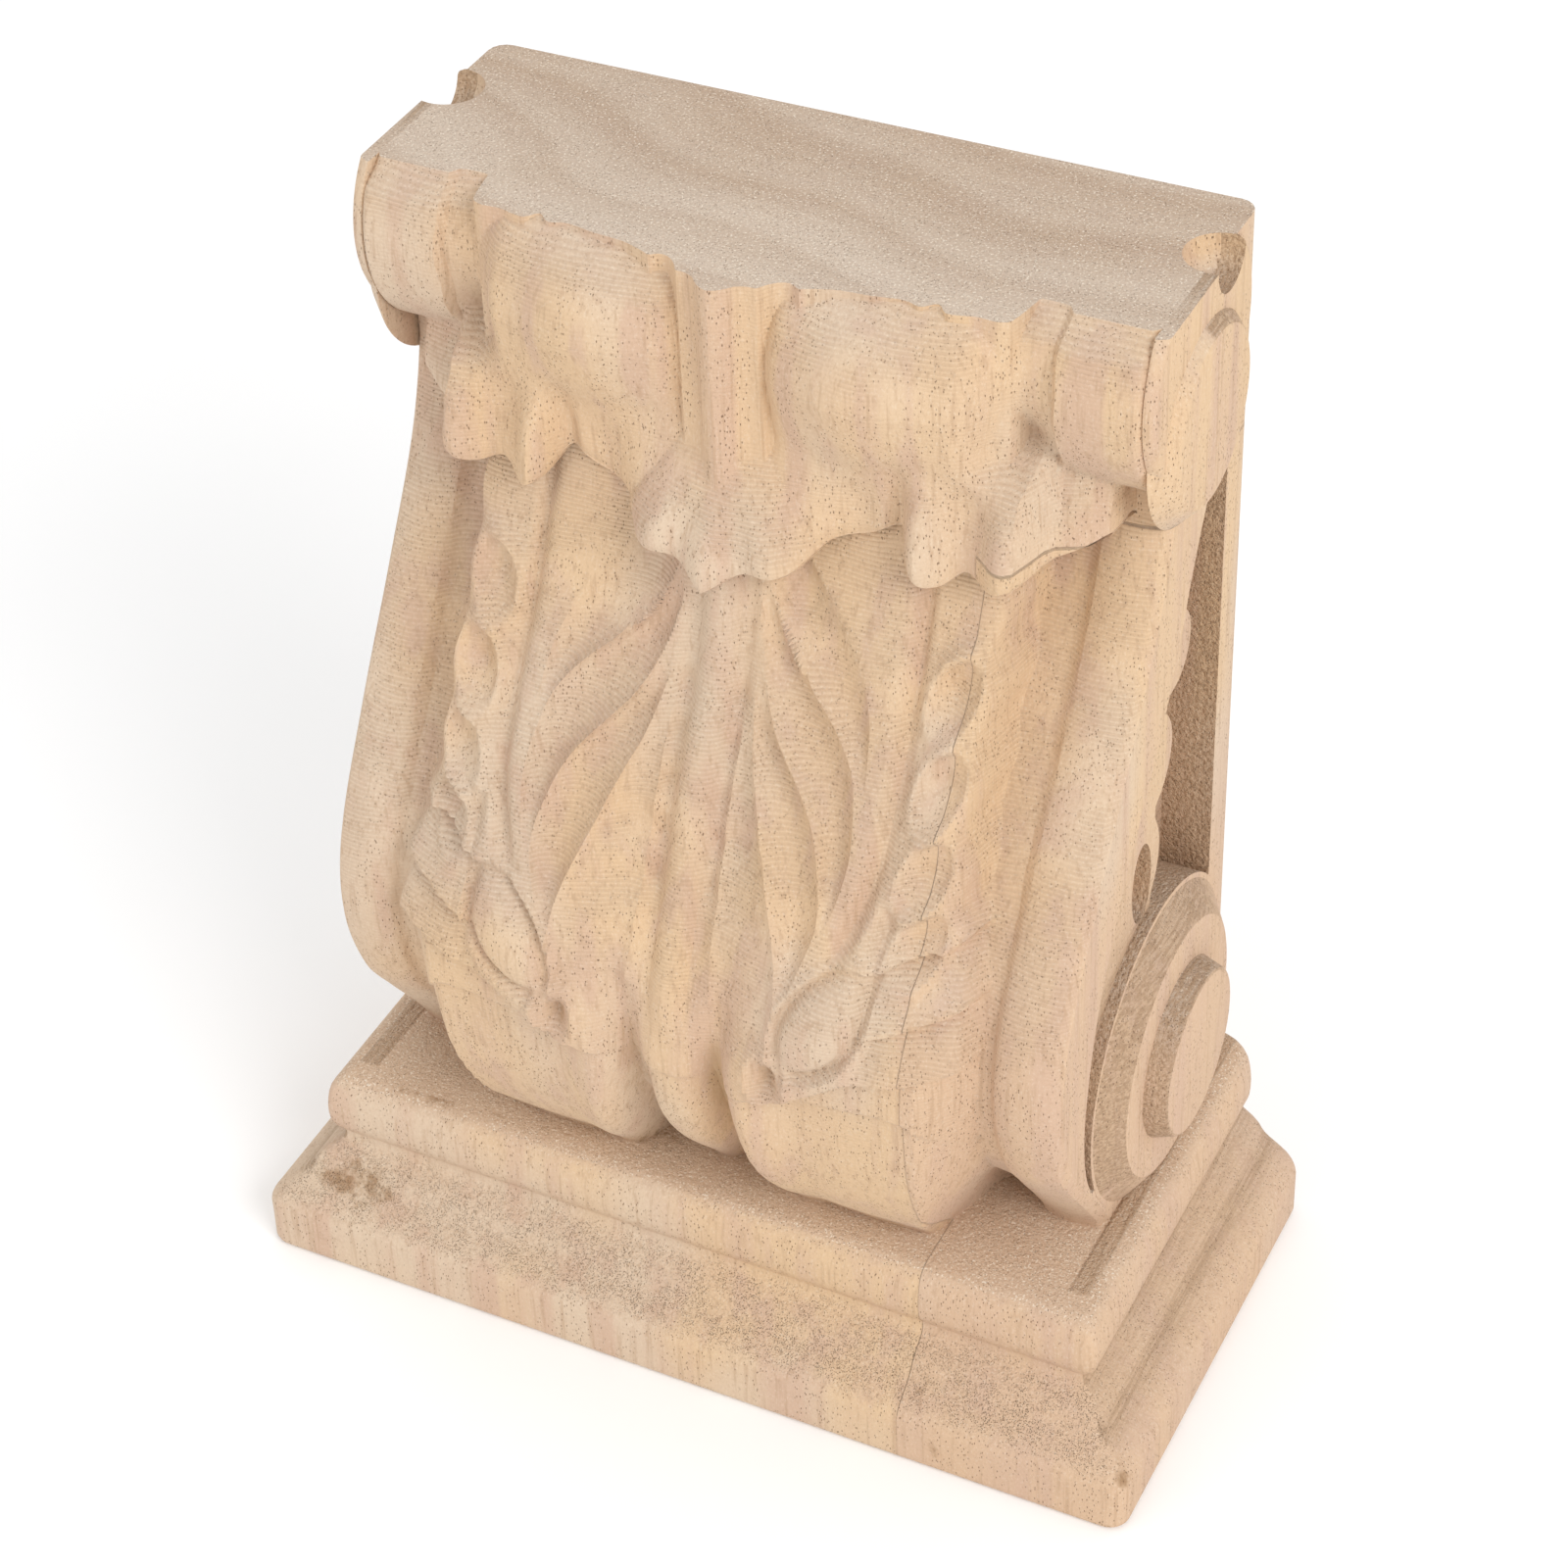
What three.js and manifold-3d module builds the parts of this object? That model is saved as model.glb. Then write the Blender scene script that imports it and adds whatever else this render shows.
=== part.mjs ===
// Carved wooden corbel: a leaf-covered scroll block on a moulded foot, cut from one piece of wood.
// Millimetres, +Z up. The carved front faces -Y and the flat back faces +Y.
// The origin is the middle of the underside.
import * as THREE from 'three';
import { mergeVertices } from 'three/addons/utils/BufferGeometryUtils.js';
import Module from 'manifold-3d';

// Foot block
const footWidth = 122;
const footDepth = 63;
const footHeight = 26;
const footCornerRadius = 1.2;
const footEdgeEase = 0.5;
const fasciaHeight = 8;
const notchHeight = 16.2;
const notchInset = 8.2;
const beadInset = 6.9;
const beadRound = 3;

// Carved body
const bodyWidth = 97;
const totalHeight = 150;
const edgeRound = 1.2;
const bandWidth = 8.5;
const bandCrown = 0.8;
const channelDepth = 0.8;
const channelRound = 0.6;
const backStripWidth = 7;

// Leaf on the front
const leafEdgeSoftness = 1.1;
const toothPitch = 7.4;
const toothSize = 1.1;
const toothStart = 61.6;
const toothEnd = 80;
const scaleStep = 1.1;
const podLength = 7.4;
const podWidth = 3.9;
const podRise = 0.9;
const podGroove = 1.2;
const footStep = 1.2;
const tierStep = 1.0;
const outerRowStart = 24;
const outerRowSlope = 2.5;
const ribRise = 1.3;
const ribHalfWidth = 2.4;

// Roll at the narrow end
const rollEndRadius = 15.4;
const rollBulgeDepth = 40.2;
const rollBulgeHeight = 139;
const rollTopDepth = 29.5;
const rollEndStep = 1.4;
const drumFoot = 131;
const facetDepth = 30.4;
const ribGrooveAt = 4.6;
const ribGrooveDepth = 1.8;
const tipUndercut = 2.4;

// Scrolls and pocket on each side face
const rollEnd = { depth: 19, height: 141, steps: [{ radius: 14.4, rise: 1.2 }] };
const rollEye = { depth: 18.5, height: 133.5, steps: [{ radius: 11, rise: 2.5 }] };
const volute = { depth: 23.3, height: 44, steps: [{ radius: 17, rise: 2.9 }, { radius: 11.3, rise: 5.7 }] };
const scrollRoot = 3;
const scrollRound = 0.9;
const scrollSegments = 40;
const pocketDepth = 6.5;
const pocketTop = 122;
const pocketStep = 1.6;
const scoopRadius = 4.4;
const scoopAt = 11.8;
const scoopSegments = 24;
const cutterReach = 1;
const dropHole = { depth: 26.4, height: 71, length: 6, width: 3.2, sunk: 4.5, segments: 20 };
const sliver = { outline: [[42.5, 66], [35.2, 80.5], [36.5, 73]], sunk: 2 };

// How finely the carving is cut
const leafRows = 42;
const tipRows = 2;
const rollRows = 15;
const rootDepthInFoot = 6;
const evenPlaces = [4.6, 8.5, 12.4, 16.3, 20.2];
const crestsFade = 100;
const crestsEnd = 113;
const settleSteps = 8;
const columnCounts = [1, 1, 2, 2, 2, 2, 2, 1, 4, 1, 2, 3, 1];

const backFace = footDepth / 2;
const halfBody = bodyWidth / 2;
const channelAt = halfBody - bandWidth;

// The carving is drawn between these two heights and stretched to the real ones
const drawnFoot = 26;
const drawnTop = 150;
const stretch = (totalHeight - footHeight) / (drawnTop - drawnFoot);
const placed = (height) => footHeight + (height - drawnFoot) * stretch;

// Outlines as (position, value) pairs, depths measured from the flat back
const bandOutline = [[20, 38], [26, 39], [31, 42], [38, 47], [45, 51.6], [56, 54.8], [67, 53.4],
  [82, 45.4], [97, 36.2], [112, 27.8], [127, 23.6], [150, 22]];
const crownOutline = [[20, 51], [24, 51.6], [27, 53.2], [31, 56.6], [36, 59.4], [43, 61.6], [51, 62.4],
  [58, 62.4], [67, 61.2], [75, 58], [85, 52.8], [94, 47.4], [105, 41.4], [118, 36], [130, 32]];
const stalkOutline = [[20, 43], [24, 44.4], [28, 48.2], [36, 56], [43, 59.6], [51, 60.9], [58, 60.2],
  [65, 58.4], [72, 55.6], [79, 52.6], [86, 50], [92, 47], [98, 43.6], [106, 41], [118, 38.5], [130, 35]];
const leafEdgeOutline = [[26, 36.6], [60, 37.6], [70, 37], [80, 35.2], [90, 34.2], [104, 34], [125, 33.8]];
const leafFootOutline = [[6, 51.5], [13, 53], [19, 56], [25, 60], [31, 61], [39, 63.5]];
const lobeTopOutline = [[6, 50], [12, 53], [22, 54.2], [31, 54.5], [34, 51.5], [37, 46]];
const lobeEdgeOutline = [[20, 32.8], [26, 33.4], [31, 34.6], [38, 36.2], [46, 37], [60, 38]];
const valley = {
  at: [[20, 7.6], [26, 7.2], [34, 6.8], [42, 6], [50, 5.6], [58, 6.4], [66, 7.4]],
  cut: [[20, 8], [26, 9.4], [32, 9], [40, 6.6], [48, 4.6], [56, 2.8], [63, 1], [69, 0]],
  width: [[20, 3], [30, 2.9], [40, 2.5], [56, 2.2], [69, 2.4]],
};
const tipOutline = [[0, 112], [4, 114.4], [9.5, 115.4], [13, 118.4], [17, 119.6], [20.8, 121.3],
  [23.2, 118.4], [26.6, 116.6], [29.2, 118.2], [32, 117.8], [36, 119.2], [40.5, 121], [44.5, 123.4],
  [48.5, 123.6]];
const lobeOutline = [[108, 41.8], [116, 40.4], [122, 38.6], [126, 37.2], [129.5, 36.4], [133, 38.6],
  [139, 40.4]];
const fanOutline = [[108, 15.5], [115, 14], [120, 11], [125, 7.5], [130, 4.5], [134, 4]];

// Sharp crests between the troughs of the leaf, as distance from the middle at each height
const crests = {
  upper: [[88, 21.8], [95.5, 21], [100.5, 20], [105, 17.6], [110, 13.9], [116, 9]],
  outer: [[73, 18], [78, 19.8], [82, 20.8], [86, 21.2], [90, 20.6], [93.8, 19.5], [96.6, 17.6],
    [99.3, 15], [101.2, 12.6], [103.4, 10.1], [106, 8.2], [109.5, 6.6], [114, 5]],
  middle: [[66, 15.8], [72, 17.2], [77, 18.6], [80, 18.6], [83.5, 17.7], [86.5, 16.6], [89.2, 15],
    [91.6, 13], [93.8, 11], [96.2, 9], [99, 7.4], [102.5, 6.2], [107, 5]],
  inner: [[62, 15.6], [71.5, 14.6], [75, 13.7], [78, 12.6], [81.8, 11.1], [85.5, 9.7], [89, 8.3],
    [91.5, 7.2], [95, 6.2], [99, 5.4]],
  rib: [[56, 6.4], [66, 5.4], [80, 4.8], [110, 4.6]],
};
const troughs = [
  { from: 'outer', to: 'upper', low: 88, high: 124, deep: 1.7 },
  { from: 'middle', to: 'outer', low: 74, high: 116, deep: 2.2 },
  { from: 'inner', to: 'middle', low: 66, high: 102, deep: 2.2 },
  { from: 'rib', to: 'inner', low: 56, high: 99, deep: 1.5 },
];
const podAt = { across: 20.6, height: 66.4, lean: 0.54 };
const pocketFront = [[56, 7], [59.5, 13.5], [66, 23], [80, 22.5], [92, 21.5], [106, 19], [114, 15.5],
  [122, 11]];
const pocketLobes = [{ depth: 18.5, height: 99.5, radius: 5.6 }, { depth: 25, height: 86.8, radius: 7.2 },
  { depth: 29.5, height: 73, radius: 8.6 }];

const clamp01 = (t) => Math.min(1, Math.max(0, t));
const blend = (from, to, x) => {
  const t = clamp01((x - from) / (to - from));
  return t * t * (3 - 2 * t);
};
const hump = (x, middle, width) => Math.exp(-(((x - middle) / width) ** 2));

// A smooth curve through the points of an outline
function follow(outline, x) {
  const last = outline.length - 1;
  if (x <= outline[0][0]) return outline[0][1];
  if (x >= outline[last][0]) return outline[last][1];
  let i = 0;
  while (x > outline[i + 1][0]) i += 1;
  const slope = (k) => {
    const before = outline[Math.max(0, k - 1)];
    const after = outline[Math.min(last, k + 1)];
    return (after[1] - before[1]) / (after[0] - before[0]);
  };
  const span = outline[i + 1][0] - outline[i][0];
  const t = (x - outline[i][0]) / span;
  const rise = t * t * (3 - 2 * t);
  return outline[i][1] * (1 - rise) + outline[i + 1][1] * rise
    + span * t * (1 - t) * ((1 - t) * slope(i) - t * slope(i + 1));
}

// Side bands, with a shallow channel between them and the leaf
function bandDepth(across, height) {
  const crown = bandCrown * clamp01(1 - ((across - channelAt - bandWidth / 2) / (bandWidth / 2)) ** 2);
  const channel = channelDepth * (1 - blend(channelAt - channelRound, channelAt + channelRound, across));
  const ease = edgeRound * blend(halfBody - edgeRound, halfBody, across) ** 2;
  return follow(bandOutline, height) + crown - channel - ease;
}

// Concave troughs, each between two crests, running out at both ends
function troughCut(across, height) {
  let cut = 0;
  for (const { from, to, low, high, deep } of troughs) {
    const start = follow(crests[from], height);
    const width = Math.max(follow(crests[to], height) - start, 0.1);
    const t = clamp01((across - start) / width);
    const ends = blend(low, low + 9, height) * (1 - blend(high - 7, high, height));
    cut += deep * ends * blend(0.3, 5, width) * (4 * t * (1 - t)) ** 0.8;
  }
  return cut;
}

// Troughs and the seed pods in their grooves
function leafCarving(across, height) {
  const side = across - podAt.across;
  const up = height - podAt.height;
  const along = (up * Math.cos(podAt.lean) + side * Math.sin(podAt.lean)) / podLength;
  const wide = (side * Math.cos(podAt.lean) - up * Math.sin(podAt.lean)) / podWidth;
  const ring = Math.hypot(along, wide);
  return podRise * clamp01(1 - ring ** 2) - podGroove * hump(ring, 1.12, 0.16)
    - troughCut(across, height) * blend(1.15, 1.42, ring);
}

// How far a point is down its scale of the leaf's edge, from 0 to 1
function scaleFall(across, height) {
  const phase = (height - 0.34 * (across - 31) - toothStart) / toothPitch;
  return phase - Math.floor(phase);
}

// Half width of the leaf, with its toothed edge
function leafEdge(height) {
  const middle = follow(leafEdgeOutline, height);
  const tooth = toothSize * (0.5 - scaleFall(middle, height));
  return middle + tooth * (1 - blend(toothEnd - 2, toothEnd + 4, height));
}

// The leaf and the two lobes at its foot, with a valley on each side of the stalk
function leafDepth(across, height) {
  const ground = bandDepth(across, height) - 3.2 * hump(across, 35.6, 2.2) * (1 - blend(29, 38, height));
  const crown = follow(crownOutline, height) - 1.6 * (1 - blend(27, 40, height)) * hump(across, 8, 6);
  const stalk = follow(stalkOutline, height);
  const rib = ribRise * clamp01(1 - (across / ribHalfWidth) ** 2) * blend(54, 64, height);
  const foot = follow(leafFootOutline, across);
  const lobeTop = follow(lobeTopOutline, across);
  const above = blend(foot - 1.5, foot + 1.5, height);
  const tier = (footStep * (1 - above) + tierStep * (1 - blend(lobeTop - 1.5, lobeTop + 1.5, height)))
    * blend(9, 17, across);
  const valleyShape = hump(across, follow(valley.at, height), follow(valley.width, height));
  const cut = follow(valley.cut, height) * valleyShape;
  const outerRow = blend(outerRowStart, outerRowStart + outerRowSlope, across);
  const toothed = 1 - blend(toothEnd - 2, toothEnd + 3, height);
  const scale = scaleStep * scaleFall(across, height) * outerRow * toothed * above;
  const leaf = stalk + (crown - stalk) * blend(2.6, 11, across) + rib - cut - tier - scale
    + leafCarving(across, height) - outerRow * blend(66, 76, height);
  const edge = leafEdge(height);
  const insideEdge = 1 - blend(edge - leafEdgeSoftness, edge + leafEdgeSoftness, across);
  const high = ground + (leaf - ground) * insideEdge;
  const lobeSide = clamp01((across - 22) / (follow(lobeEdgeOutline, height) - 22));
  const low = ground + (leaf - ground) * clamp01(1 - lobeSide ** 2.6) ** 0.55;
  return Math.max(ground, low + (high - low) * above);
}

// The roll, its end drums and the leaf tips that hang from it
function rollDepth(across, height) {
  const drumRise = rollEndRadius ** 2 - (height - rollEnd.height) ** 2;
  const drumEnd = edgeRound * blend(halfBody - 1.5, halfBody, across) ** 2;
  const drum = rollEnd.depth + Math.sqrt(Math.max(0, drumRise)) - 2.2 * blend(drawnTop - 3, drawnTop, height)
    - drumEnd;
  const facet = (facetDepth + 0.42 * Math.max(0, drumFoot - height) - 0.3 * Math.max(0, across - 36))
    * blend(45.4, 43.6, across);
  const ends = Math.max(drum, height < drumFoot ? facet : 0, bandDepth(across, height))
    - rollEndStep * (1 - blend(37.3, 38.3, across)) * blend(drumFoot - 1, drumFoot + 2, height);

  const upBulge = (height - rollBulgeHeight) / (drawnTop - rollBulgeHeight + 0.4);
  const arc = Math.sqrt(clamp01(1 - upBulge ** 2));
  const top = rollTopDepth + 2 * hump(across, 0, 5) + 0.9 * hump(across, 25, 5.5) - hump(across, 13, 5);
  const swell = 2.4 * hump(across, 17, 9.5) - 1.2;
  const bulge = top + (rollBulgeDepth + swell - top) * arc;

  const fan = follow(fanOutline, height);
  const inFan = clamp01(1 - (across / fan) ** 2) ** 0.6;
  const centreTip = inFan * (0.8 + 3.6 * blend(130, 113, height)) * blend(131.5, 127, height);
  const hollow = 2.4 * hump(across, 16.5, 4.2) * blend(131, 122, height)
    + 1.4 * hump(across, 21, 2.2) * blend(135, 123, height);
  const ridge = 1.9 * hump(across, 24.4, 2) * blend(132, 124, height)
    + 1.7 * hump(across, 34.4, 2.6) * blend(132, 125, height);
  const dish = 1.6 * hump(across, 29.4, 3.2) * blend(131, 126, height);
  const lobes = follow(lobeOutline, height) + centreTip - hollow + ridge - dish;
  const middle = (height > rollBulgeHeight ? bulge : lobes + swell * blend(130, rollBulgeHeight, height))
    - ribGrooveDepth * hump(across, ribGrooveAt, 1.5) * blend(127, 133, height);
  const onDrum = blend(129.5, 134.5, height);
  const over = blend(27.5, 34.5, across) * onDrum + blend(35.5, 38, across) * (1 - onDrum);
  return middle + (ends - middle) * over;
}

// Front edge of the side pocket, pushed back by the round lobes beside it
function pocketEdge(height) {
  let edge = follow(pocketFront, height);
  for (const lobe of pocketLobes) {
    const reach = lobe.radius ** 2 - (height - lobe.height) ** 2;
    if (reach > 0) edge = Math.min(edge, lobe.depth - Math.sqrt(reach));
  }
  return edge;
}

// Even steps between neighbouring lines, as many as each strip is given
function spread(lines, counts) {
  const places = [lines[0]];
  counts.forEach((count, k) => {
    for (let i = 1; i <= count; i += 1) places.push(lines[k] + (lines[k + 1] - lines[k]) * i / count);
  });
  return places;
}

// Height of a row, counted from the root in the foot up to the top face
function rowHeight(across, row) {
  const tip = follow(tipOutline, across);
  const under = tip + tipUndercut * (1 - blend(36, 45, across)) - 0.2;
  const root = drawnFoot - rootDepthInFoot;
  if (row <= leafRows) return root + (under - root) * row / leafRows;
  if (row < leafRows + tipRows) return under + (tip - under) * ((row - leafRows) / tipRows) ** 1.5;
  const t = (row - leafRows - tipRows) / rollRows;
  return t === 0 ? tip + 0.1 : tip + (drawnTop - tip) * Math.sin(t * Math.PI / 2);
}

// Columns of the half front: they follow the crests, and stand evenly where the crests end
function frontColumns(row) {
  const crestLines = [crests.rib, crests.inner, crests.middle, crests.outer, crests.upper];
  const followed = crestLines.map((crest, k) => {
    let across = evenPlaces[k];
    for (let i = 0; i < settleSteps; i += 1) {
      const height = rowHeight(across, row);
      const even = blend(crestsFade, crestsEnd, height);
      across = (across + follow(crest, height) * (1 - even) + evenPlaces[k] * even) / 2;
    }
    return across;
  });
  const edge = leafEdge(rowHeight(outerRowStart, row));
  const lines = [0, ribHalfWidth, ...followed, outerRowStart, outerRowStart + outerRowSlope,
    edge - leafEdgeSoftness, edge + leafEdgeSoftness, channelAt + channelRound, halfBody - edgeRound,
    halfBody];
  return spread(lines, columnCounts);
}

// One point of the front, on the leaf, under a tip or on the roll
function frontPoint(across, row) {
  const height = rowHeight(across, row);
  if (row <= leafRows) return { across, depth: leafDepth(across, height), height };
  if (row > leafRows + tipRows) return { across, depth: rollDepth(across, height), height };
  const inner = leafDepth(across, rowHeight(across, leafRows));
  const outer = Math.max(inner, rollDepth(across, follow(tipOutline, across) + 0.2) - 0.6);
  return { across, depth: inner + (outer - inner) * (row - leafRows) / tipRows, height };
}

// One closed ring of points around the body
function bodyRing(row) {
  const half = frontColumns(row).map((across) => frontPoint(across, row));
  const ring = [];
  const point = (side) => ({ across, depth, height }) => [side * across, backFace - depth, placed(height)];
  ring.push(...[...half].reverse().map(point(-1)), ...half.slice(1).map(point(1)));
  const edge = placed(half[half.length - 1].height);
  ring.push([halfBody, backFace, edge], [-halfBody, backFace, edge]);
  return ring;
}

// Rings, listed from the lowest up, joined into one closed skin with flat caps
function skin(rings) {
  const positions = rings.flat().flat();
  const count = rings[0].length;
  const faces = [];
  for (let k = 0; k + 1 < rings.length; k += 1) {
    for (let i = 0; i < count; i += 1) {
      const a = k * count + i;
      const b = k * count + (i + 1) % count;
      faces.push(a, b, b + count, a, b + count, a + count);
    }
  }
  for (const [ring, turned] of [[0, true], [rings.length - 1, false]]) {
    const outline = rings[ring].map(([x, y]) => new THREE.Vector2(x, y));
    for (const [a, b, c] of THREE.ShapeUtils.triangulateShape(outline, [])) {
      const corner = ring * count;
      faces.push(...(turned ? [corner + c, corner + b, corner + a] : [corner + a, corner + b, corner + c]));
    }
  }
  return { positions, faces };
}

// Inset of the foot's face at each height: fascia, ridged chamfer, notch, bead and top
function footProfile() {
  const chamferRise = notchHeight - fasciaHeight;
  const beadRise = footHeight - notchHeight;
  const profile = [[footEdgeEase, 0], [0, footEdgeEase], [0, fasciaHeight - 1], [0.35, fasciaHeight + 0.1]];
  for (const [inset, rise] of [[0.18, 0.15], [0.57, 0.49], [0.7, 0.65], [1, 1]]) {
    profile.push([inset * notchInset, fasciaHeight + rise * chamferRise]);
  }
  for (const [out, rise] of [[0.4, 0.18], [0, 0.39]]) {
    profile.push([beadInset + out, notchHeight + rise * beadRise]);
  }
  const roundSteps = 4;
  for (let i = 0; i <= roundSteps; i += 1) {
    const angle = i / roundSteps * Math.PI / 2;
    const inset = beadInset + beadRound * (1 - Math.cos(angle));
    profile.push([inset, footHeight - beadRound * (1 - Math.sin(angle))]);
  }
  return profile;
}

// Plan of the foot at one inset: rounded front corners, square at the back
function footRing(inset, height) {
  const half = footWidth / 2 - inset;
  const front = -backFace + inset;
  const radius = footCornerRadius;
  const cornerSteps = 4;
  const ring = [[-half, backFace, height]];
  for (const side of [-1, 1]) {
    for (let i = 0; i <= cornerSteps; i += 1) {
      const angle = i / cornerSteps * Math.PI / 2;
      const turn = side < 0 ? angle : Math.PI / 2 - angle;
      const across = half - radius * (1 - Math.cos(turn));
      ring.push([side * across, front + radius * (1 - Math.sin(turn)), height]);
    }
  }
  ring.push([half, backFace, height]);
  return ring;
}

const wasm = await Module();
wasm.setup();

function solid({ positions, faces }) {
  const mesh = new wasm.Mesh({
    numProp: 3,
    vertProperties: new Float32Array(positions),
    triVerts: new Uint32Array(faces),
  });
  return new wasm.Manifold(mesh);
}

// A shape made for the right side, as a solid there or mirrored to the left side
function sideSolid(geometry, side) {
  geometry.deleteAttribute('normal');
  geometry.deleteAttribute('uv');
  const merged = mergeVertices(geometry, 1e-4);
  const turned = (value, i) => (i % 3 === 0 ? side * value : value);
  const positions = Array.from(merged.attributes.position.array, turned);
  const faces = Array.from(merged.index.array);
  return solid({ positions, faces: side < 0 ? faces.reverse() : faces });
}

// A stepped round scroll standing out of a side face, turned about an axis along X
function scroll({ depth, height, steps }, side) {
  const profile = [[0, -scrollRoot], [steps[0].radius, -scrollRoot]];
  for (const { radius, rise } of steps) {
    profile.push([radius, rise - scrollRound], [radius - 0.3 * scrollRound, rise - 0.3 * scrollRound]);
    profile.push([radius - scrollRound, rise]);
    const inner = steps.find((step) => step.rise > rise);
    if (inner) profile.push([inner.radius, rise]);
  }
  profile.push([0, steps[steps.length - 1].rise]);
  const points = profile.map(([radius, rise]) => new THREE.Vector2(radius, rise));
  const turned = new THREE.LatheGeometry(points, scrollSegments);
  turned.rotateZ(-Math.PI / 2);
  turned.translate(halfBody, backFace - depth, placed(height));
  return sideSolid(turned, side);
}

// A cutter for a recess in a side face, of an outline in (depth, height) pairs
function recess(outline, sunk, side) {
  const shape = new THREE.Shape(outline.map(([depth, height]) => new THREE.Vector2(depth, placed(height))));
  const cutter = new THREE.ExtrudeGeometry(shape, { depth: sunk + cutterReach, bevelEnabled: false });
  const toFront = new THREE.Vector3(0, -1, 0);
  const up = new THREE.Vector3(0, 0, 1);
  cutter.applyMatrix4(new THREE.Matrix4().makeBasis(toFront, up, new THREE.Vector3(-1, 0, 0)));
  cutter.translate(halfBody + cutterReach, backFace, 0);
  return sideSolid(cutter, side);
}

function pocketOutline() {
  const outline = [[backStripWidth, pocketTop], [backStripWidth, pocketFront[0][0]]];
  for (let height = pocketFront[0][0] + pocketStep; height < pocketTop; height += pocketStep) {
    outline.push([pocketEdge(height), height]);
  }
  outline.push([pocketEdge(pocketTop), pocketTop]);
  return outline;
}

function dropOutline() {
  const outline = [];
  for (let i = 0; i < dropHole.segments; i += 1) {
    const angle = i / dropHole.segments * 2 * Math.PI;
    const depth = dropHole.depth + dropHole.width * Math.cos(angle);
    outline.push([depth, dropHole.height + dropHole.length * Math.sin(angle)]);
  }
  return outline;
}

function scoop(side) {
  const ball = new THREE.SphereGeometry(scoopRadius, scoopSegments, scoopSegments / 2);
  return sideSolid(ball.translate(halfBody, backFace - scoopAt, totalHeight), side);
}

const bodyRings = [];
for (let row = 0; row <= leafRows + tipRows + rollRows; row += 1) bodyRings.push(bodyRing(row));
const foot = solid(skin(footProfile().map(([inset, height]) => footRing(inset, height))));
let carved = solid(skin(bodyRings));
for (const side of [-1, 1]) {
  for (const at of [rollEnd, rollEye, volute]) carved = carved.add(scroll(at, side));
  for (const [outline, sunk] of [[pocketOutline(), pocketDepth], [dropOutline(), dropHole.sunk],
    [sliver.outline, sliver.sunk]]) {
    carved = carved.subtract(recess(outline, sunk, side));
  }
  carved = carved.subtract(scoop(side));
}
const above = new THREE.BoxGeometry(2 * bodyWidth, 2 * footDepth, rollEndRadius);
carved = carved.subtract(sideSolid(above.translate(0, 0, totalHeight + rollEndRadius / 2), 1)).add(foot);
const joined = carved.getMesh();

const geometry = new THREE.BufferGeometry();
geometry.setAttribute('position', new THREE.BufferAttribute(joined.vertProperties, 3));
geometry.setIndex(new THREE.BufferAttribute(joined.triVerts, 1));
geometry.computeVertexNormals();

const wood = new THREE.MeshStandardMaterial({ color: 0xd9b894, roughness: 0.78, metalness: 0 });
const corbel = new THREE.Mesh(geometry, wood);
corbel.name = 'corbel';

const part = new THREE.Group();
part.add(corbel);

export default part;
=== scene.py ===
import math

import bpy
import numpy as np
from mathutils import Matrix, Vector


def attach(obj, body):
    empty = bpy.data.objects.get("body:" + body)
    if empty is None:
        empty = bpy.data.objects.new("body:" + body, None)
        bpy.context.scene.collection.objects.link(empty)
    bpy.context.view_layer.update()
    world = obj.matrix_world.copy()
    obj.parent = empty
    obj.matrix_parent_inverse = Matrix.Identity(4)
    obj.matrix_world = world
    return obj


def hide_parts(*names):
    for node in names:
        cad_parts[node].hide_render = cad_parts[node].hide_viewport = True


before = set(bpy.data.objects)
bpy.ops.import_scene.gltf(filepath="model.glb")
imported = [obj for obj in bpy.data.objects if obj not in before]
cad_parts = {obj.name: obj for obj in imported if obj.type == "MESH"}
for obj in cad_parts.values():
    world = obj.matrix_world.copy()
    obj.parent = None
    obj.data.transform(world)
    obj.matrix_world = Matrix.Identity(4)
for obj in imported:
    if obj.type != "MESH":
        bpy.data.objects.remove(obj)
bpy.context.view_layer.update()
scene = bpy.context.scene
bpy.ops.object.select_all(action='DESELECT')

mm = 0.001

# the block, in millimetres, as the solid has it
block = {
    'height': 150.0,
    'halfWidth': 48.5,
    'backFace': 31.5,
    'root': 20.0,
    'edgeRound': 1.2,
    'bandWidth': 8.5,
    'bandCrown': 1.0,
    'channelDepth': 0.9,
    'backStrip': 7.0,
    'backCorner': 2.2,
}
channelAt = block['halfWidth'] - block['bandWidth']


def clamp01(t):
    return np.clip(t, 0.0, 1.0)


def blend(low, high, x):
    t = clamp01((x - low) / (high - low))
    return t * t * (3 - 2 * t)


def hump(x, middle, width):
    return np.exp(-((x - middle) / width) ** 2)


# a smooth curve through an outline's (position, value) pairs
def follow(outline, x):
    places, values = np.array(outline, float).T
    slopes = np.zeros_like(values)
    slopes[1:-1] = (values[2:] - values[:-2]) / (places[2:] - places[:-2])
    slopes[0] = (values[1] - values[0]) / (places[1] - places[0])
    slopes[-1] = (values[-1] - values[-2]) / (places[-1] - places[-2])
    x = np.clip(x, places[0], places[-1])
    i = np.clip(np.searchsorted(places, x, side='right') - 1, 0, len(places) - 2)
    span = places[i + 1] - places[i]
    t = (x - places[i]) / span
    rise = t * t * (3 - 2 * t)
    return (values[i] * (1 - rise) + values[i + 1] * rise
            + span * t * (1 - t) * ((1 - t) * slopes[i] - t * slopes[i + 1]))


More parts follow.
